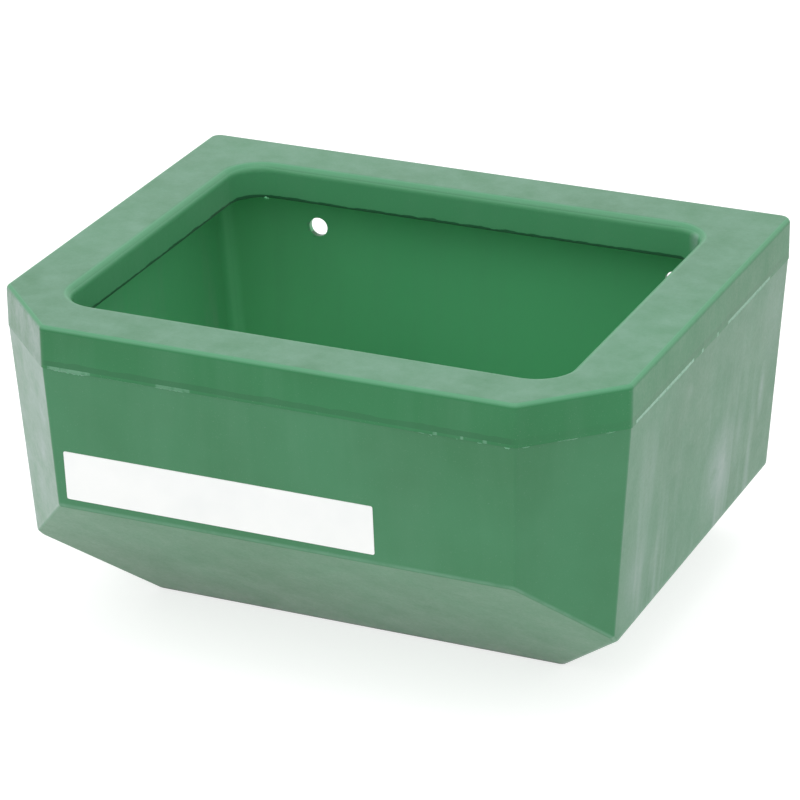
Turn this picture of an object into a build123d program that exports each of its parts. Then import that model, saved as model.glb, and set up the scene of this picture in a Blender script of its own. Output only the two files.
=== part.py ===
from build123d import *
import os
from math import cos, radians, sin, sqrt, tan

# Foal feeder: an open hopper that hangs on a wall, with an anti-waste collar round its mouth.
# Frame: x across the front, y from the front (-) to the wall (+), z up.
# The origin is the middle of the outer box, on the ground under the base.

# Overall form
width = 500.0
depth = 418.0
height = 274.0
corner_cut = 63.0
draft_angle = 4.2
bevel_angle = 44.0
front_bevel_drop = 148.5
side_bevel_step = 5.5

# Hopper bin
bin_wall = 4.5
seam_step = 0.5
crease_round = 3.5
keel_round = 8.0
inner_crease_round = 8.0
inner_keel_round = 32.0
inner_back_round = 12.0

# Anti-waste collar
collar_drop = 32.0
collar_wall = 4.0
rim_width = 51.0
lip_drop = 29.0
upright_round = 7.0
back_round = 9.0
rim_round = 4.0
channel_round = 2.0
mouth_round = 7.0
mouth_corner_round = 28.0
lip_edge_round = 1.2

# Lap joint between the bin and the collar
fit_gap = 0.3
tongue_wall = 3.5
tongue_rise = 20.0
tongue_root = 12.0
tongue_edge = 1.0
bead_height = 2.4
bead_depth = 1.8

# Two holes in the back wall for the wall bolts
hole_diameter = 16.0
hole_spacing = 310.0
hole_drop = 68.0

# Bare label on the front wall
label_width = 250.0
label_height = 40.0
label_thickness = 0.4
label_corner_round = 1.5
label_shift = -50.5
label_drop = 120.5

# What follows from the sizes above
half_width = width / 2
half_depth = depth / 2
seam_z = height - collar_drop
slope = tan(radians(draft_angle))
bevel_rise = tan(radians(bevel_angle))
front_bevel_z = height - front_bevel_drop
corner_turn = sqrt(2) - 1
least_round = 1.5


def lean_in(z):
    # how far a drafted wall stands inside the collar's face at height z
    return seam_step + (seam_z - z) * slope


# The front bevel runs down the cut corner and meets the side wall at this height.
# The side bevels start a little below it.
front_reach = half_depth - lean_in(front_bevel_z)
corner_run = corner_cut + corner_turn * lean_in(0) - lean_in(front_bevel_z)
corner_z = (front_bevel_z - bevel_rise * corner_run) / (1 - bevel_rise * corner_turn * slope)
side_bevel_z = corner_z - side_bevel_step
side_reach = half_width - lean_in(side_bevel_z)


def plan_points(inset, back_inset):
    # plan of the feeder: a rectangle with its two front corners cut at 45 degrees
    x = half_width - inset
    front = inset - half_depth
    back = half_depth - back_inset
    leg = corner_cut - (1 - corner_turn) * inset
    return [(-x, back), (-x, front + leg), (leg - x, front), (x - leg, front), (x, front + leg), (x, back)]


def rounded_plan(inset, front_radius, back_radius):
    outline = make_face(Polyline(*plan_points(inset, inset), close=True))
    front_corners = outline.vertices().filter_by(lambda v: v.Y < 0)
    outline = fillet(front_corners, max(front_radius, least_round))
    back_corners = outline.vertices().filter_by(lambda v: v.Y > half_depth - inset - least_round)
    return fillet(back_corners, max(back_radius, least_round))


def bevel_wedge(reach, start_z, shell):
    # section of all that lies outside one bevel, once the bevel is moved inwards by the shell
    lift = shell / cos(radians(bevel_angle))
    low = shell - crease_round
    high = start_z + width
    inner = reach + (low - start_z - lift) / bevel_rise
    outer = reach + (high - start_z - lift) / bevel_rise
    return [(inner, low), (outer, high), (outer, low)]


def hopper_block(shell):
    # the hopper with flat faces and sharp edges, all faces moved inwards by the shell
    side = shell / cos(radians(draft_angle))
    top = [(x, y, seam_z) for x, y in plan_points(lean_in(seam_z) + side, shell)]
    foot = [(x, y, shell) for x, y in plan_points(lean_in(shell) + side, shell)]
    walls = [[top[i - 1], top[i], foot[i], foot[i - 1]] for i in range(len(top))]
    block = Solid(Shell([make_face(Polyline(*ring, close=True)).face() for ring in [top, foot] + walls]))
    points = bevel_wedge(front_reach, front_bevel_z, shell)
    wedge = make_face(Polyline(*[(-reach, z) for reach, z in points], close=True))
    block -= extrude(Plane.YZ * wedge, amount=width, both=True)
    points = bevel_wedge(side_reach, side_bevel_z, shell)
    for hand in (-1, 1):
        wedge = make_face(Polyline(*[(hand * reach, z) for reach, z in points], close=True))
        block -= extrude(Plane.XZ * wedge, amount=width, both=True)
    return block


def at_mouth(edge):
    return min((edge @ 0).Z, (edge @ 1).Z) > seam_z - least_round


def on_back(edge):
    return min((edge @ 0).Y, (edge @ 1).Y) > half_depth - bin_wall - least_round


def is_keel(edge):
    # a crease where the front bevel meets a side bevel
    run = edge @ 1 - edge @ 0
    slanted = min(abs(run.X), abs(run.Y), abs(run.Z)) > abs(run.Z) / 2 > inner_crease_round
    return slanted and (edge @ 0.5).Z < side_bevel_z and not on_back(edge)


def round_hopper(block, keel, crease, back):
    block = fillet(block.edges().filter_by(is_keel), keel)
    block = fillet(block.edges().filter_by(lambda e: not at_mouth(e) and not on_back(e)), crease)
    return fillet(block.edges().filter_by(lambda e: not at_mouth(e) and on_back(e)), back)


def prism(plan, low, high):
    return extrude(Pos(0, 0, low) * plan, amount=high - low)


def seam_bead():
    # square bead that fills the rebate between the two mouldings, flush with the collar's face
    low = seam_z - bead_height / 2
    high = seam_z + bead_height / 2
    core = rounded_plan(bead_depth, upright_round - bead_depth, back_round - bead_depth)
    return prism(rounded_plan(0, upright_round, back_round), low, high) - prism(core, low, high)


def bin_tongue():
    # upright ring that stands inside the collar's skirt, blended into the wall under the seam
    outer = collar_wall + fit_gap
    inner = outer + tongue_wall
    low = seam_z - tongue_root
    high = seam_z + tongue_rise
    ring = prism(rounded_plan(outer, upright_round - outer, back_round - outer), low, high)
    ring -= prism(rounded_plan(inner, upright_round - inner, inner_back_round), low, high)
    ring = chamfer(ring.faces().sort_by(Axis.Z)[-1].edges(), tongue_edge)
    foot = ring.faces().sort_by(Axis.Z)[0].inner_wires()[0].edges()
    return chamfer(foot, tongue_wall - tongue_edge)


def feeder_bin():
    outside = round_hopper(hopper_block(0), keel_round, crease_round, back_round)
    inside = round_hopper(hopper_block(bin_wall), inner_keel_round, inner_crease_round, inner_back_round)
    body = outside - inside + bin_tongue() - seam_bead()
    hole = Rot(90, 0, 0) * Cylinder(hole_diameter / 2, 4 * bin_wall)
    for hand in (-1, 1):
        body -= Pos(hand * hole_spacing / 2, half_depth - bin_wall / 2, height - hole_drop) * hole
    return body


def mouth_plan(grow):
    return RectangleRounded(width - 2 * rim_width + 2 * grow, depth - 2 * rim_width + 2 * grow,
                            mouth_corner_round + grow)


def anti_waste_collar():
    # inverted channel: outer skirt, flat rim and a lip that hangs into the mouth
    under_rim = height - collar_wall
    collar = prism(rounded_plan(0, upright_round, back_round), seam_z, height)
    collar = fillet(collar.faces().sort_by(Axis.Z)[-1].edges(), rim_round)
    channel = prism(rounded_plan(collar_wall, upright_round - collar_wall, back_round - collar_wall),
                    seam_z, under_rim)
    channel = fillet(channel.faces().sort_by(Axis.Z)[-1].edges(), channel_round)
    lip = prism(mouth_plan(collar_wall), height - lip_drop, under_rim)
    lip -= prism(mouth_plan(0), height - lip_drop, under_rim)
    lip = fillet(lip.faces().sort_by(Axis.Z)[0].edges(), lip_edge_round)
    root = prism(mouth_plan(mouth_round), under_rim - mouth_round + collar_wall, under_rim)
    root = chamfer(root.faces().sort_by(Axis.Z)[0].edges(), mouth_round - collar_wall - tongue_edge)
    collar = collar - channel + root + lip - prism(mouth_plan(0), seam_z, height) - seam_bead()
    rim_edge = collar.faces().sort_by(Axis.Z)[-1].inner_wires()[0].edges()
    return fillet(rim_edge, mouth_round)


def front_label():
    z = height - label_drop
    outward = (0, -cos(radians(draft_angle)), -sin(radians(draft_angle)))
    on_wall = Plane(origin=(label_shift, lean_in(z) - half_depth, z), x_dir=(1, 0, 0), z_dir=outward)
    return extrude(on_wall * RectangleRounded(label_width, label_height, label_corner_round),
                   amount=label_thickness)


os.makedirs("parts", exist_ok=True)
parts = {
    "feeder_bin": feeder_bin(),
    "anti_waste_collar": anti_waste_collar(),
    "seam_bead": seam_bead(),
    "front_label": front_label(),
}
for node, shape in parts.items():
    export_step(shape, f"parts/{node}.step")
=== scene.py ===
import math
import random
import bpy
import bmesh
from mathutils import Matrix, Vector, noise


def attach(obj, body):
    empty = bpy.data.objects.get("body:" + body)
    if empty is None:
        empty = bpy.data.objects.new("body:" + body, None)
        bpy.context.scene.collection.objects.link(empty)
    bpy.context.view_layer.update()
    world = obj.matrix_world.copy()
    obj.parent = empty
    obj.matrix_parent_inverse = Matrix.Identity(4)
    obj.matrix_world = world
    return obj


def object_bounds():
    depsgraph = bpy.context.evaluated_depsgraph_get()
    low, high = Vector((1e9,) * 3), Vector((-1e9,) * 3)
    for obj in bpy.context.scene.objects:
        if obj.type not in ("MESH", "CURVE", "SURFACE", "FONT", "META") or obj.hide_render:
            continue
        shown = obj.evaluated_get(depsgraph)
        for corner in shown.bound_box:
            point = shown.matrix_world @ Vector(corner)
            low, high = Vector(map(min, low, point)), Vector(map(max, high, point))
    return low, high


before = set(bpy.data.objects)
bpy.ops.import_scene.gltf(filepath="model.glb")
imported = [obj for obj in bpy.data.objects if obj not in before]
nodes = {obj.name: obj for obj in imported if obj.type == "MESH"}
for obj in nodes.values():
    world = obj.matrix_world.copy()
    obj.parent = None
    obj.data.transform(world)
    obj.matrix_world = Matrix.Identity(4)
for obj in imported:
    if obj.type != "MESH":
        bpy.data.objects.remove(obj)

cadLow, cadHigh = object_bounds()
halfWidth, halfDepth, rimZ = cadHigh    # the feeder stands on the ground, over the origin
print("frame loaded")

# Sizes of the mouldings that the marks below are placed by, in metres and degrees

feeder = {
    "seamDrop": 0.032,       # from the rim's top down to the seam
    "seamStep": 0.0005,      # how far the bin stands inside the collar's face at the seam
    "draftAngle": 4.2,
    "bevelAngle": 44.0,
    "frontFold": 0.1255,     # height of the crease between the front wall and its bevel
    "sideFold": 0.0626,      # the same on the side walls
    "cornerCut": 0.063,
    "beadHeight": 0.0024,
}
seamZ = rimZ - feeder["seamDrop"]


def wallLean(z):
    # how far a drafted wall stands inside the collar's face at height z
    return feeder["seamStep"] + (seamZ - z) * math.tan(math.radians(feeder["draftAngle"]))


# Camera: a long lens a little above the rim, seen from the front right

cameraSet = {
    "azimuth": 23.898,       # degrees
    "elevation": 23.904,
    "roll": -0.639,
    "distance": 3.0416,      # metres from the target
    "target": (0.00694, 0.0, 0.16201),
    "focalPixels": 3969.6,   # focal length measured in picture pixels
    "imageSize": 800,
    "sensor": 36.0,          # millimetres
    "clipEnd": 60.0,
}


def makeCamera(s):
    azimuth = math.radians(s["azimuth"])
    elevation = math.radians(s["elevation"])
    back = Vector((math.sin(azimuth) * math.cos(elevation),
                   -math.cos(azimuth) * math.cos(elevation),
                   math.sin(elevation)))
    right = (-back).cross(Vector((0, 0, 1))).normalized()
    up = right.cross(-back)
    turn = math.radians(s["roll"])
    rolledRight = right * math.cos(turn) + up * math.sin(turn)
    rolledUp = up * math.cos(turn) - right * math.sin(turn)
    data = bpy.data.cameras.new("studioCamera")
    data.sensor_width = s["sensor"]
    data.lens = s["focalPixels"] * s["sensor"] / s["imageSize"]
    data.clip_end = s["clipEnd"]
    cam = bpy.data.objects.new("studioCamera", data)
    bpy.context.collection.objects.link(cam)
    turnMatrix = Matrix((rolledRight, rolledUp, back)).transposed().to_4x4()
    cam.matrix_world = Matrix.Translation(Vector(s["target"]) + back * s["distance"]) @ turnMatrix
    bpy.context.scene.camera = cam


makeCamera(cameraSet)
print("camera set")

# Small helpers for node materials


class MaterialSheet:
    def __init__(self, name):
        self.material = bpy.data.materials.new(name)
        self.material.use_nodes = True
        self.tree = self.material.node_tree
        self.shader = self.tree.nodes["Principled BSDF"]

    def node(self, kind, **settings):
        made = self.tree.nodes.new(kind)
        for key, value in settings.items():
            setattr(made, key, value)
        return made

    def link(self, source, target):
        self.tree.links.new(source, target)

    def feed(self, item, socket):
        # a plain value is set on the socket, anything else is linked to it
        if isinstance(item, (int, float, tuple)):
            socket.default_value = item
        else:
            self.link(item, socket)

    def place(self):
        return self.node("ShaderNodeTexCoord").outputs["Object"]

    def split(self, vector):
        made = self.node("ShaderNodeSeparateXYZ")
        self.link(vector, made.inputs[0])
        return made.outputs

    def noise(self, scale, detail, roughness, stretch=(1.0, 1.0, 1.0), shift=(0.0, 0.0, 0.0)):
        mapping = self.node("ShaderNodeMapping")
        mapping.inputs["Scale"].default_value = stretch
        mapping.inputs["Location"].default_value = shift
        self.link(self.place(), mapping.inputs["Vector"])
        tex = self.node("ShaderNodeTexNoise")
        tex.inputs["Scale"].default_value = scale
        tex.inputs["Detail"].default_value = detail
        tex.inputs["Roughness"].default_value = roughness
        self.link(mapping.outputs["Vector"], tex.inputs["Vector"])
        return tex.outputs["Fac"]

    def ramp(self, source, low, high, outLow=0.0, outHigh=1.0):
        made = self.node("ShaderNodeMapRange", clamp=True)
        made.inputs["From Min"].default_value = low
        made.inputs["From Max"].default_value = high
        made.inputs["To Min"].default_value = outLow
        made.inputs["To Max"].default_value = outHigh
        self.link(source, made.inputs["Value"])
        return made.outputs["Result"]

    def maths(self, kind, a, b=0.0):
        made = self.node("ShaderNodeMath", operation=kind)
        self.feed(a, made.inputs[0])
        self.feed(b, made.inputs[1])
        return made.outputs[0]

    def vectorMaths(self, kind, a, b=(0.0, 0.0, 0.0)):
        made = self.node("ShaderNodeVectorMath", operation=kind)
        self.feed(a, made.inputs[0])
        self.feed(b, made.inputs[1])
        return made.outputs["Value" if kind in ("DOT_PRODUCT", "LENGTH") else "Vector"]

    def product(self, first, *others):
        for item in others:
            first = self.maths("MULTIPLY", first, item)
        return first

    def mix(self, factor, a, b):
        made = self.node("ShaderNodeMix", data_type="RGBA")
        self.feed(factor, made.inputs["Factor"])
        for item, socket in ((a, made.inputs[6]), (b, made.inputs[7])):    # the two colour sockets
            self.feed((*item, 1.0) if isinstance(item, tuple) else item, socket)
        return made.outputs[2]

    def coat(self, base, colour, *shares):
        # lays the colour over the base as far as all the shares allow
        return self.mix(self.product(*shares), base, colour)

    def bump(self, height, strength, distance, under=None):
        made = self.node("ShaderNodeBump")
        made.inputs["Strength"].default_value = strength
        made.inputs["Distance"].default_value = distance
        self.link(height, made.inputs["Height"])
        if under is not None:
            self.link(under, made.inputs["Normal"])
        return made.outputs["Normal"]


def dress(piece, material):
    piece.data.materials.clear()
    piece.data.materials.append(material)


# Green polyethylene of the bin, the collar and the bead between them

greenPlastic = {
    "deep": (0.026, 0.168, 0.062),      # linear colours
    "main": (0.039, 0.205, 0.087),
    "side": (0.026, 0.166, 0.088),      # painted shade: darker and a little cooler on the side walls
    "inner": (0.125, 0.520, 0.240),     # light soaks through the walls and lifts the inside
    "corner": (0.220, 0.680, 0.360),    # most of all in the back left corner
    "rimHighlight": (0.150, 0.420, 0.245),      # painted highlight on the roundings of the rim
    "bloomAndSheen": (0.190, 0.350, 0.262),     # grey waxy bloom and painted sheen on faces that look up
    # streaks, and the painted highlight along the creases
    "streakAndCreaseHighlight": (0.150, 0.320, 0.215),
    # pale grey of real smudges and streaks, also the painted reflection on the left cut corner and the lower
    # side walls
    "scuffAndReflection": (0.515, 0.560, 0.600),
    "speck": (0.300, 0.440, 0.350),
    # painted contact shadow at the foot
    "footShade": (0.010, 0.050, 0.022),
    "lipShade": (0.008, 0.064, 0.026),       # painted shade: the dark line under the inner lip
    "pale": (0.270, 0.500, 0.370),      # plastic pressed out along the seam, paler still as a painted highlight
    "sideShadeShare": 0.32,
    "cornerLightShare": 0.0,
    "bloomAndSheenShare": 0.50,
    "rimHighlightShare": 0.0,
    "creaseHighlightShare": 0.0,
    "streakShare": 0.13,
    "sideStreakAndReflectionShare": 0.52,
    "cutReflectionShare": 0.52,
    "dustShare": 0.12,
    "footShadeShare": 0.0,
    "lipShadeShare": 0.0,
    "smudges": [],                      # middle and half sizes in metres, share
    "paleRuns": [],                     # axis, start and end in metres, side of the other axis, share
    "roughness": 0.40,
    "roughnessSpread": 0.08,
    "specular": 0.55,
    "sheen": 0.09,
    "sheenRoughness": 0.45,
    "shift": (0.0, 0.0, 0.0),           # moves the noise, so that no two pieces share a pattern
}
binLook = dict(
    greenPlastic, cornerLightShare=0.6, creaseHighlightShare=0.55, sideStreakAndReflectionShare=0.42, footShadeShare=0.8, specular=0.45,
    smudges=[
        ((0.240, 0.073, 0.112), (0.03, 0.036, 0.040), 0.44),
        ((0.245, -0.098, 0.180), (0.03, 0.020, 0.042), 0.30),
        ((0.242, 0.116, 0.122), (0.03, 0.009, 0.030), 0.26),
        ((0.243, 0.166, 0.142), (0.03, 0.008, 0.024), 0.44),
        ((0.247, 0.182, 0.205), (0.03, 0.032, 0.046), 0.26),
        ((0.248, -0.017, 0.216), (0.03, 0.007, 0.006), 0.34),
        ((0.240, -0.104, 0.104), (0.03, 0.030, 0.042), 0.26),
    ])
collarLook = dict(
    greenPlastic, deep=(0.015, 0.157, 0.049), main=(0.021, 0.189, 0.065), inner=(0.068, 0.285, 0.130),
    sideShadeShare=0.20, bloomAndSheenShare=0.82, rimHighlightShare=0.50, sideStreakAndReflectionShare=0.10, lipShadeShare=0.85,
    specular=0.38, sheen=0.04, shift=(3.1, 1.7, 0.4))
beadLook = dict(
    collarLook, rimHighlightShare=0.0, lipShadeShare=0.0, dustShare=0.3,
    paleRuns=[
        ("X", -0.183, -0.147, -1, 0.34),
        ("X", -0.094, -0.066, -1, 0.22),
        ("X", 0.124, 0.128, -1, 0.30),
        ("X", 0.145, 0.148, -1, 0.35),
        ("X", 0.162, 0.166, -1, 0.30),
        ("Y", -0.137, -0.016, 1, 0.75),
        ("Y", 0.000, 0.005, 1, 0.60),
        ("Y", 0.034, 0.038, 1, 0.50),
        ("Y", 0.058, 0.156, 1, 0.60),
    ])

# Noise of each mark: scale, detail and roughness
markNoise = {
    "clouds": (7.0, 4.0, 0.55),
    "patches": (34.0, 6.0, 0.66),
    "grain": (420.0, 2.0, 0.6),
    "drags": (30.0, 3.0, 0.6),
    "dust": (900.0, 1.0, 0.5),
    "runBreaks": (260.0, 3.0, 0.6),
    "lipWaves": (70.0, 2.0, 0.6),
    "wallWaves": (11.0, 2.0, 0.4),
    "peel": (120.0, 2.0, 0.5),
}
dragStretch = (1.0, 1.0, 0.10)          # drags run up and down the walls

# Where each mark starts and is full, and the two results where they aren't 0 and 1.
# Directions of a face go from -1 to 1, places and heights are in metres.
spans = {
    "clouds": (0.35, 0.66),
    "inside": (0.006, -0.006),          # a face that looks towards the middle of the feeder
    "flatTop": (0.90, 1.0),
    "wall": (0.25, 0.05),
    "sideWall": (0.90, 0.98),
    "lowWall": (0.235, 0.090),
    "cornerReach": (-0.08, -0.20),
    "backWall": (-0.5, -0.9),
    "foldReach": (0.10, 0.16),
    "foldStart": (0.30, 0.60),
    "foldEnd": (0.95, 0.75),
    "bloomAndSheenPatches": (0.28, 0.74, 0.28, 0.88),
    "rimTurnStart": (0.25, 0.70),
    "rimTurnEnd": (1.0, 0.96),
    "creaseStart": (-0.0024, -0.0012),
    "creaseEnd": (-0.0001, -0.0006),
    "creasePatches": (0.30, 0.55, 0.2, 1.0),
    "drags": (0.48, 0.80),
    "smudgeReach": (1.2, 0.0),
    "smudgePatches": (0.34, 0.60, 0.08, 1.0),
    "cutFace": (-0.45, -0.65),
    "cutReflectionPatches": (0.25, 0.70),
    "dust": (0.66, 0.78),
    "foot": (0.0042, 0.0012),
    "runFace": (0.6, 0.9),
    "runBreaks": (0.30, 0.50, 0.3, 1.0),
    "lipWaves": (0.3, 0.7, -0.0008, 0.0008),
    "lipEdge": (rimZ - 0.0262, rimZ - 0.0265),
    "lipInner": (0.3, 0.0),
    "gloss": (0.3, 0.7),
}
runFade = 0.001                         # a pale run fades over this length at both ends
grainInGloss = 0.4

# Strength and distance of the three layers of bump
relief = {
    "wallWaves": (0.30, 0.0020),
    "peel": (0.22, 0.0005),
    "grain": (0.15, 0.0002),
}


def surfaceMasks(m, s):
    # the sockets that several coats share
    normal = m.node("ShaderNodeNewGeometry").outputs["Normal"]
    facing = m.split(normal)
    outward = m.vectorMaths("DOT_PRODUCT", normal, m.place())
    return {
        "facing": facing,
        "place": m.split(m.place()),
        "outward": outward,
        "inside": m.ramp(outward, *spans["inside"]),
        "wall": m.ramp(m.maths("ABSOLUTE", facing["Z"]), *spans["wall"]),
        "sideWall": m.ramp(m.maths("ABSOLUTE", facing["X"]), *spans["sideWall"]),
        "patches": m.noise(*markNoise["patches"], shift=s["shift"]),
        "grain": m.noise(*markNoise["grain"], shift=s["shift"]),
    }


def mouldedColourWithPaintedLight(m, s, on):
    # clouds of green, painted shade on the side walls, painted light on the inside, and a painted highlight
    # on the back left fold
    clouds = m.ramp(m.noise(*markNoise["clouds"], shift=s["shift"]), *spans["clouds"])
    base = m.mix(clouds, s["deep"], s["main"])
    # painted shade on the side walls
    base = m.coat(base, s["side"], on["sideWall"], s["sideShadeShare"])
    base = m.mix(on["inside"], base, s["inner"])
    # painted light on the back wall near the left corner, and a painted highlight along the back left fold
    if s["cornerLightShare"] > 0:
        backWall = m.product(m.ramp(on["place"]["X"], *spans["cornerReach"]),
                             m.ramp(on["facing"]["Y"], *spans["backWall"]))
        fold = m.product(m.ramp(on["facing"]["X"], *spans["foldStart"]),
                         m.ramp(on["facing"]["X"], *spans["foldEnd"]),
                         m.ramp(on["place"]["Y"], *spans["foldReach"]))
        lit = m.maths("MAXIMUM", backWall, fold)
        base = m.coat(base, s["corner"], lit, on["inside"], s["cornerLightShare"])
    return base


def rimCoats(m, s, on, base):
    # waxy bloom and painted sheen on the flat top, and a painted highlight where the rim turns down
    flatTop = m.ramp(on["facing"]["Z"], *spans["flatTop"])
    # waxy bloom mixed with a painted sheen on faces that look up
    base = m.coat(base, s["bloomAndSheen"], m.ramp(on["patches"], *spans["bloomAndSheenPatches"]), s["bloomAndSheenShare"], flatTop)
    # painted highlight where the rim turns down
    if s["rimHighlightShare"] > 0:
        turning = m.product(m.ramp(on["facing"]["Z"], *spans["rimTurnStart"]),
                            m.ramp(on["facing"]["Z"], *spans["rimTurnEnd"]))
        base = m.coat(base, s["rimHighlight"], turning, s["rimHighlightShare"])
    return base


def creaseLines(m, place):
    # painted highlight: a thin line just above the creases of the front bevel and the two side bevels
    folded = m.node("ShaderNodeCombineXYZ")
    m.link(m.maths("ABSOLUTE", place["X"]), folded.inputs["X"])
    m.link(place["Y"], folded.inputs["Y"])
    m.link(place["Z"], folded.inputs["Z"])
    across = math.sin(math.radians(feeder["bevelAngle"]))
    down = -math.cos(math.radians(feeder["bevelAngle"]))
    frontZ = feeder["frontFold"]
    sideZ = feeder["sideFold"]
    bevels = [               # a point on each bevel and its outward direction
        ((0.0, wallLean(frontZ) - halfDepth, frontZ), (0.0, -across, down)),
        ((halfWidth - wallLean(sideZ), 0.0, sideZ), (across, 0.0, down)),
    ]
    lines = []
    for point, out in bevels:
        away = m.vectorMaths("SUBTRACT", folded.outputs[0], point)
        above = m.vectorMaths("DOT_PRODUCT", away, out)
        lines.append(m.product(m.ramp(above, *spans["creaseStart"]), m.ramp(above, *spans["creaseEnd"])))
    return m.maths("MAXIMUM", *lines)


def wallCoats(m, s, on, base):
    # painted highlights along the creases, drags down the walls (paler towards the bottom of the side walls,
    # partly a painted reflection of the floor), smudges on the right wall, and a painted reflection on the
    # left cut corner
    if s["creaseHighlightShare"] > 0:
        # painted highlight along the creases, broken into patches
        patchyHighlight = m.ramp(on["patches"], *spans["creasePatches"])
        base = m.coat(base, s["streakAndCreaseHighlight"], creaseLines(m, on["place"]), patchyHighlight, s["creaseHighlightShare"])
    drags = m.noise(*markNoise["drags"], stretch=dragStretch, shift=s["shift"])
    dragged = m.product(m.ramp(drags, *spans["drags"]), on["wall"])
    base = m.coat(base, s["streakAndCreaseHighlight"], dragged, s["streakShare"])
    # streaks on the side walls, paler towards the bottom: partly streaks, partly a painted reflection of the
    # floor
    lowWall = m.ramp(on["place"]["Z"], *spans["lowWall"])
    base = m.coat(base, s["scuffAndReflection"], dragged, on["sideWall"], lowWall, s["sideStreakAndReflectionShare"])
    for middle, half, share in s["smudges"]:
        away = m.vectorMaths("DIVIDE", m.vectorMaths("SUBTRACT", m.place(), middle), half)
        spot = m.ramp(m.vectorMaths("LENGTH", away), *spans["smudgeReach"])
        broken = m.ramp(on["patches"], *spans["smudgePatches"])
        base = m.coat(base, s["scuffAndReflection"], spot, broken, on["wall"], share)
    # painted reflection on the left cut corner, broken into patches
    cutLeft = m.product(m.ramp(on["facing"]["X"], *spans["cutFace"]),
                        m.ramp(on["facing"]["Y"], *spans["cutFace"]))
    return m.coat(base, s["scuffAndReflection"], m.ramp(on["patches"], *spans["cutReflectionPatches"]), s["cutReflectionShare"], cutLeft)


def dustAndFootShadeCoats(m, s, on, base):
    # fine dust everywhere, and painted contact shadow where the base meets the ground
    dust = m.noise(*markNoise["dust"], shift=s["shift"])
    base = m.coat(base, s["speck"], m.ramp(dust, *spans["dust"]), s["dustShare"])
    # painted contact shadow, darker towards the ground
    if s["footShadeShare"] > 0:
        base = m.coat(base, s["footShade"], m.ramp(on["place"]["Z"], *spans["foot"]), s["footShadeShare"])
    return base


def seamRuns(m, s, on, base):
    # pale lengths of the seam, each on the front or on the right side: flash plastic with a painted highlight
    if not s["paleRuns"]:
        return base
    broken = m.ramp(m.noise(*markNoise["runBreaks"], shift=s["shift"]), *spans["runBreaks"])
    for axis, start, end, side, share in s["paleRuns"]:
        place = on["place"][axis]
        facing = on["facing"]["Y" if axis == "X" else "X"]
        across = m.ramp(facing, *(side * limit for limit in spans["runFace"]))
        base = m.coat(base, s["pale"], m.ramp(place, start, start + runFade),
                      m.ramp(place, end, end - runFade), across, broken, share)
    return base


def lipShadeLine(m, s, on, base):
    # painted shade: ragged dark line along the foot of the lip
    if s["lipShadeShare"] == 0:
        return base
    waves = m.ramp(m.noise(*markNoise["lipWaves"], shift=s["shift"]), *spans["lipWaves"])
    ragged = m.maths("ADD", on["place"]["Z"], waves)
    return m.coat(base, s["lipShade"], m.ramp(ragged, *spans["lipEdge"]),
                  m.ramp(on["outward"], *spans["lipInner"]), s["lipShadeShare"])


def glossAndRelief(m, s, on):
    worn = m.maths("ADD", m.product(on["patches"], 1 - grainInGloss), m.product(on["grain"], grainInGloss))
    spread = s["roughnessSpread"]
    rough = m.ramp(worn, *spans["gloss"], s["roughness"] - spread, s["roughness"] + spread)
    m.link(rough, m.shader.inputs["Roughness"])
    m.shader.inputs["Specular IOR Level"].default_value = s["specular"]
    m.shader.inputs["Sheen Weight"].default_value = s["sheen"]
    m.shader.inputs["Sheen Roughness"].default_value = s["sheenRoughness"]
    wavy = m.bump(m.noise(*markNoise["wallWaves"], shift=s["shift"]), *relief["wallWaves"])
    peel = m.bump(m.noise(*markNoise["peel"], shift=s["shift"]), *relief["peel"], under=wavy)
    m.link(m.bump(on["grain"], *relief["grain"], under=peel), m.shader.inputs["Normal"])


def makeGreen(name, s):
    m = MaterialSheet(name)
    on = surfaceMasks(m, s)
    base = mouldedColourWithPaintedLight(m, s, on)
    for layCoats in (rimCoats, wallCoats, dustAndFootShadeCoats, seamRuns, lipShadeLine):
        base = layCoats(m, s, on, base)
    m.link(base, m.shader.inputs["Base Color"])
    glossAndRelief(m, s, on)
    return m.material


dress(nodes["feeder_bin"], makeGreen("binGreen", binLook))
dress(nodes["anti_waste_collar"], makeGreen("collarGreen", collarLook))
dress(nodes["seam_bead"], makeGreen("seamGreen", beadLook))
print("mouldings dressed")

# Trim: what moulding and cutting left on the plastic, in small pieces of their own

trimLook = {
    "noise": (3.0, 0.5),     # detail and roughness
    "blend": (0.35, 0.65),
    "bump": 0.4,             # strength
}


def makeTrim(name, s, second):
    # two greens in fine specks, with fine pits
    m = MaterialSheet(name)
    specks = m.ramp(m.noise(s["speckScale"], *trimLook["noise"]), *trimLook["blend"])
    m.link(m.mix(specks, s["colour"], second), m.shader.inputs["Base Color"])
    m.shader.inputs["Roughness"].default_value = s["roughness"]
    pits = m.noise(s["pitScale"], *trimLook["noise"])
    m.link(m.bump(pits, trimLook["bump"], s["pitDepth"]), m.shader.inputs["Normal"])
    return m.material


def addPiece(name, form):
    mesh = bpy.data.meshes.new(name)
    form.to_mesh(mesh)
    form.free()
    piece = bpy.data.objects.new(name, mesh)
    bpy.context.collection.objects.link(piece)
    return piece


# Moulding flash: ragged pale ridges in the step under the collar, their paleness partly a painted highlight

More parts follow.
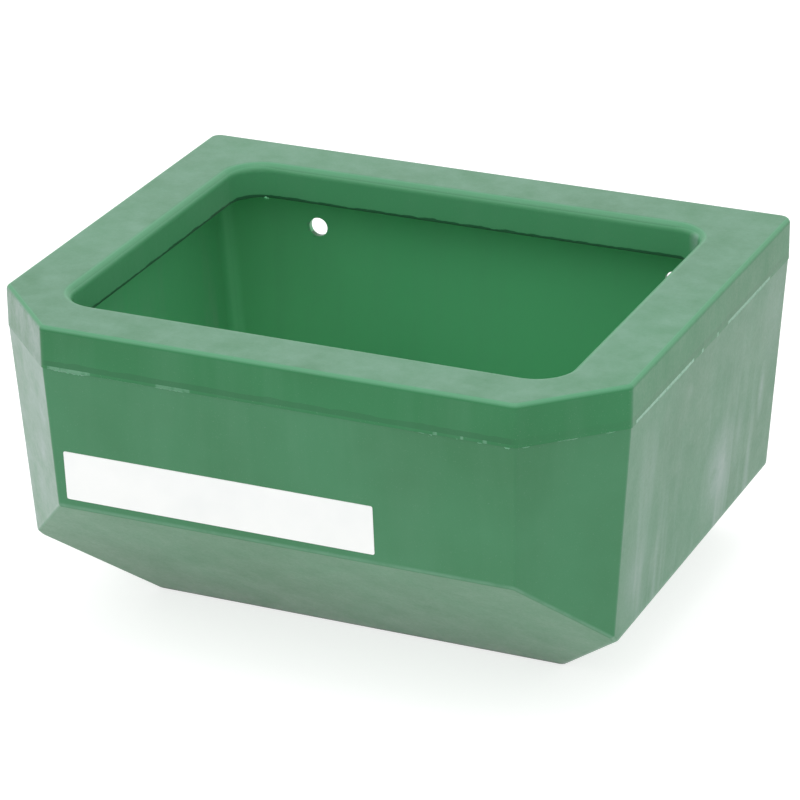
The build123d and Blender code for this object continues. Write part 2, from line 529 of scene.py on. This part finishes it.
cutInset = 0.0025            # the flash on a cut corner keeps this far from both ends
nearCut = halfWidth - feeder["cornerCut"] + cutInset
cutFront = (nearCut, cutInset - halfDepth)
cutSide = (halfWidth - cutInset, feeder["cornerCut"] - cutInset - halfDepth)
flash = {
    # paler than the collar: flash plastic, lightened as a painted highlight
    "colour": (0.120, 0.370, 0.205),
    "speckScale": 300.0,
    "pitScale": 500.0,
    "pitDepth": 0.0003,
    "roughness": 0.45,
    "top": seamZ - feeder["beadHeight"] / 2,
    "wall": 0.00055,         # how far the bin's wall stands inside the collar's face there
    "root": 0.0004,          # how far the ridge reaches into the wall
    "step": 0.0012,          # between two sections of a ridge
    "leastSteps": 3,
    "seed": 7,
    "taper": 6.0,            # a run is full a sixth of its length from each end
    "ragged": (0.45, 1.0),   # least and most of the full height
    "leastTall": 0.12,
    "leastDeep": 0.10,
    "nose": (1.0, 0.15),     # shares of the thickness and of the height
    "chin": (0.7, 0.60),
    "faces": {               # two ends in plan, seen from outside with the first end on the left
        "front": ((-0.184, -halfDepth), (0.184, -halfDepth)),
        "cutRight": (cutFront, cutSide),
        "right": ((halfWidth, -0.143), (halfWidth, 0.200)),
        "left": ((-halfWidth, 0.200), (-halfWidth, -0.143)),
        "cutLeft": ((-cutSide[0], cutSide[1]), (-cutFront[0], cutFront[1])),
    },
    "runs": [                # face, start and end along it, height, thickness
        ("front", 0.006, 0.100, 0.0019, 0.00050),
        ("front", 0.100, 0.235, 0.0006, 0.00025),
        ("front", 0.237, 0.312, 0.0012, 0.00045),
        ("front", 0.400, 0.560, 0.0005, 0.00022),
        ("front", 0.805, 0.822, 0.0013, 0.00048),
        ("front", 0.828, 0.838, 0.0016, 0.00050),
        ("front", 0.885, 0.892, 0.0012, 0.00045),
        ("front", 0.928, 0.942, 0.0013, 0.00045),
        ("front", 0.984, 0.998, 0.0022, 0.00052),
        ("cutRight", 0.02, 0.10, 0.0012, 0.00040),
        ("cutRight", 0.33, 0.57, 0.0012, 0.00048),
        ("cutRight", 0.79, 0.90, 0.0012, 0.00045),
        ("right", 0.110, 0.372, 0.0022, 0.00053),
        ("right", 0.414, 0.434, 0.0018, 0.00050),
        ("right", 0.515, 0.532, 0.0018, 0.00050),
        ("right", 0.586, 0.870, 0.0020, 0.00053),
        ("left", 0.10, 0.34, 0.0009, 0.00040),
        ("left", 0.52, 0.83, 0.0011, 0.00045),
        ("cutLeft", 0.22, 0.71, 0.0010, 0.00040),
    ],
}


def addRidge(form, rings):
    # skin over the rings, closed at both ends
    corners = len(rings[0])
    for one, two in zip(rings, rings[1:]):
        for k in range(corners):
            after = (k + 1) % corners
            form.faces.new((one[k], one[after], two[after], two[k]))
    form.faces.new(list(reversed(rings[0])))
    form.faces.new(rings[-1])


def makeFlash(s, dice):
    form = bmesh.new()
    for face, start, end, height, thick in s["runs"]:
        a, b = (Vector((*point, s["top"])) for point in s["faces"][face])
        run = b - a
        out = Vector((run.y, -run.x, 0)).normalized()
        count = max(s["leastSteps"], int(run.length * (end - start) / s["step"]))
        rings = []
        for i in range(count + 1):
            t = i / count
            swell = min(1.0, s["taper"] * t, s["taper"] * (1 - t)) * dice.uniform(*s["ragged"])
            at = a + run * (start + (end - start) * t) - out * s["wall"]
            tall = height * max(swell, s["leastTall"])
            deep = thick * max(swell, s["leastDeep"])
            section = [(-s["root"], 0.0)]
            section += [(deep * outShare, tall * downShare) for outShare, downShare in (s["nose"], s["chin"])]
            section += [(-s["root"], tall)]
            rings.append([form.verts.new(at + out * reach - Vector((0, 0, drop))) for reach, drop in section])
        addRidge(form, rings)
    bmesh.ops.recalc_face_normals(form, faces=form.faces)
    piece = addPiece("mouldingFlash", form)
    dress(piece, makeTrim("flashPlastic", s, greenPlastic["streakAndCreaseHighlight"]))
    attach(piece, "root")


makeFlash(flash, random.Random(flash["seed"]))
print("flash made")

# Burrs left by trimming, under the lip near the back left corner and round the left bolt hole

burrs = {
    "colour": (0.200, 0.450, 0.290),
    "speckScale": 700.0,
    "pitScale": 900.0,
    "pitDepth": 0.0002,
    "roughness": 0.42,
    "roundness": 3,          # subdivisions of each ball
    "swell": 0.35,
    "swellScale": 1.7,
    "swellShift": 900,       # so that no two burrs swell alike
    "spots": [               # place, half sizes
        ((-0.1792, 0.1568, 0.2452), (0.0014, 0.0007, 0.0010)),
        ((-0.1774, 0.1575, 0.2446), (0.0008, 0.0005, 0.0009)),
        ((-0.1640, 0.2043, 0.2072), (0.0012, 0.0008, 0.0019)),
        ((-0.1634, 0.2043, 0.2028), (0.0008, 0.0006, 0.0013)),
        ((-0.1585, 0.2044, 0.1974), (0.0015, 0.0006, 0.0007)),
    ],
}


def makeBurrs(s):
    form = bmesh.new()
    for place, half in s["spots"]:
        ball = bmesh.ops.create_icosphere(form, subdivisions=s["roundness"], radius=1.0)
        for vert in ball["verts"]:
            spot = vert.co * s["swellScale"] + Vector(place) * s["swellShift"]
            swell = 1.0 + s["swell"] * noise.noise(spot)
            vert.co = Vector([c * h * swell for c, h in zip(vert.co, half)]) + Vector(place)
    piece = addPiece("trimBurrs", form)
    dress(piece, makeTrim("burrPlastic", s, greenPlastic["inner"]))
    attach(piece, "root")


makeBurrs(burrs)
print("burrs made")

# Blank label film

labelFilm = {
    "face": (0.93, 0.94, 0.93),
    "shade": (0.89, 0.905, 0.90),
    "clouds": (22.0, 3.0, 0.5),
    "blend": (0.4, 0.7),
    "gloss": (0.3, 0.7, 0.33, 0.46),    # the last two are the least and the most roughness
    "ripples": (60.0, 2.0, 0.4),
    "relief": (0.12, 0.0003),
}


def makeLabel(s):
    m = MaterialSheet("labelFilm")
    clouds = m.noise(*s["clouds"])
    m.link(m.mix(m.ramp(clouds, *s["blend"]), s["face"], s["shade"]), m.shader.inputs["Base Color"])
    m.link(m.ramp(clouds, *s["gloss"]), m.shader.inputs["Roughness"])
    m.link(m.bump(m.noise(*s["ripples"]), *s["relief"]), m.shader.inputs["Normal"])
    return m.material


dress(nodes["front_label"], makeLabel(labelFilm))
print("label dressed")

# Floor, backdrop and light

studio = {
    "floorHalf": 14.0,
    "floorZ": -0.0005,       # a hair under the base
    "floorColour": (0.90, 0.90, 0.90),
    "seenColour": (0.50, 0.50, 0.50),    # the floor as the camera and reflections see it
    "seenGlow": 0.72,
    "worldStrength": 0.94,
    "seenWhite": 1.0,
    "aim": (0.0, 0.0, 0.14),
    "lamps": {               # place, size, watts
        "keyLamp": ((-1.9, -2.1, 2.6), 1.8, 13.0),
        "fillLamp": ((2.6, -1.6, 1.5), 2.4, 2.5),
        "topLamp": ((0.1, -0.3, 2.6), 1.6, 13.0),
    },
}


def seenRays(tree):
    # 1 for rays from the camera and from glossy or clear surfaces, 0 for the light that falls on things
    rays = tree.nodes.new("ShaderNodeLightPath")
    total = rays.outputs["Is Camera Ray"]
    for kind in ("Is Glossy Ray", "Is Transmission Ray"):
        larger = tree.nodes.new("ShaderNodeMath")
        larger.operation = "MAXIMUM"
        tree.links.new(total, larger.inputs[0])
        tree.links.new(rays.outputs[kind], larger.inputs[1])
        total = larger.outputs[0]
    return total


def blendShaders(tree, hidden, seen, output):
    blend = tree.nodes.new("ShaderNodeMixShader")
    tree.links.new(seenRays(tree), blend.inputs["Fac"])
    tree.links.new(hidden, blend.inputs[1])
    tree.links.new(seen, blend.inputs[2])
    tree.links.new(blend.outputs[0], output)


def makeFloor(s):
    form = bmesh.new()
    bmesh.ops.create_grid(form, x_segments=1, y_segments=1, size=s["floorHalf"])
    floor = addPiece("floor", form)
    floor.location.z = s["floorZ"]
    m = MaterialSheet("paleFloor")
    plain = m.node("ShaderNodeBsdfDiffuse")
    plain.inputs["Color"].default_value = (*s["floorColour"], 1.0)
    bright = m.node("ShaderNodeBsdfDiffuse")
    bright.inputs["Color"].default_value = (*s["seenColour"], 1.0)
    glow = m.node("ShaderNodeEmission")
    glow.inputs["Strength"].default_value = s["seenGlow"]
    both = m.node("ShaderNodeAddShader")
    m.link(bright.outputs[0], both.inputs[0])
    m.link(glow.outputs[0], both.inputs[1])
    surface = m.tree.nodes["Material Output"].inputs["Surface"]
    blendShaders(m.tree, plain.outputs[0], both.outputs[0], surface)
    dress(floor, m.material)


def makeWorld(s):
    world = bpy.data.worlds.new("studioWorld")
    bpy.context.scene.world = world
    world.use_nodes = True
    tree = world.node_tree
    light = tree.nodes["Background"]
    light.inputs["Color"].default_value = (1, 1, 1, 1)
    light.inputs["Strength"].default_value = s["worldStrength"]
    white = tree.nodes.new("ShaderNodeBackground")
    white.inputs["Color"].default_value = (1, 1, 1, 1)
    white.inputs["Strength"].default_value = s["seenWhite"]
    surface = tree.nodes["World Output"].inputs["Surface"]
    blendShaders(tree, light.outputs[0], white.outputs[0], surface)


def makeLamp(name, place, size, watts, aim):
    data = bpy.data.lights.new(name, "AREA")
    data.size = size
    data.energy = watts
    lamp = bpy.data.objects.new(name, data)
    bpy.context.collection.objects.link(lamp)
    lamp.location = place
    lamp.rotation_euler = (Vector(aim) - Vector(place)).to_track_quat("-Z", "Y").to_euler()


makeFloor(studio)
makeWorld(studio)
for lampName, lampSet in studio["lamps"].items():
    makeLamp(lampName, *lampSet, studio["aim"])
bpy.context.scene.view_settings.view_transform = "Standard"
print("stage lit")
